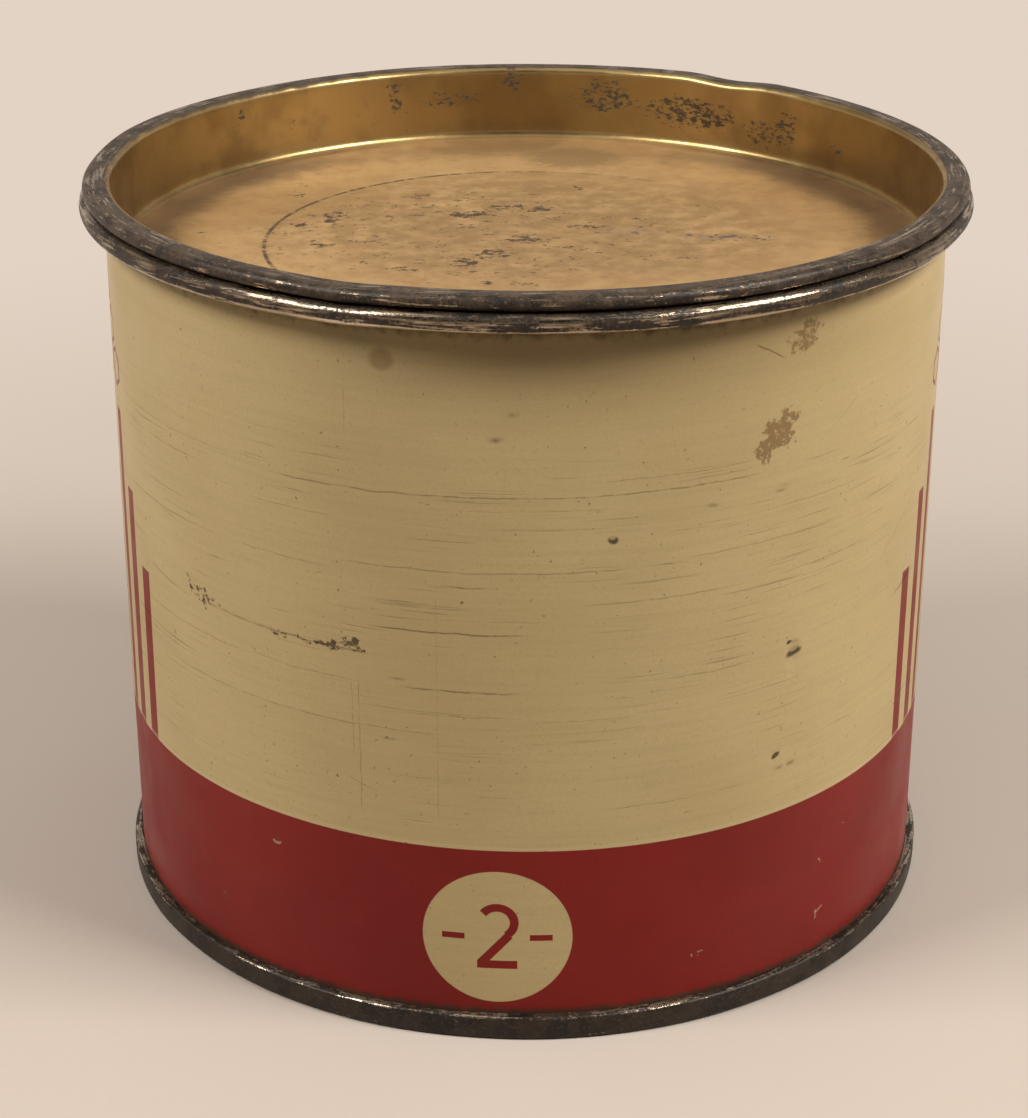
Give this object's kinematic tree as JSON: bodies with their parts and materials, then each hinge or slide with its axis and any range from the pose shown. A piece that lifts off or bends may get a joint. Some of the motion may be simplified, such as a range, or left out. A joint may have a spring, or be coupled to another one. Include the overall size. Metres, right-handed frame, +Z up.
{
  "type": "honey tin",
  "caption": "Old round honey tin with a recessed friction plug lid, rolled curls at the top, a printed cream wall with a dark red foot band and a double-seamed bottom end.",
  "frame": {"origin": "centre of the circle that the tin stands on, at floor level", "axes": "+Z up along the tin's axis; the middle of the shown front faces -Y, the side seam is at +Y"},
  "size_m": [0.1118, 0.1118, 0.0947],
  "materials": {
    "can_body": "cream and dark red print, worn, with bare dark tin on the curl",
    "lid": "gold lacquered tinplate, worn, with a dark curl",
    "bottom_end": "oxidised bare tinplate"
  },
  "bodies": {
    "root": {"can_body": "can_body", "lid": "lid", "bottom_end": "bottom_end"}
  },
  "joints": []
}
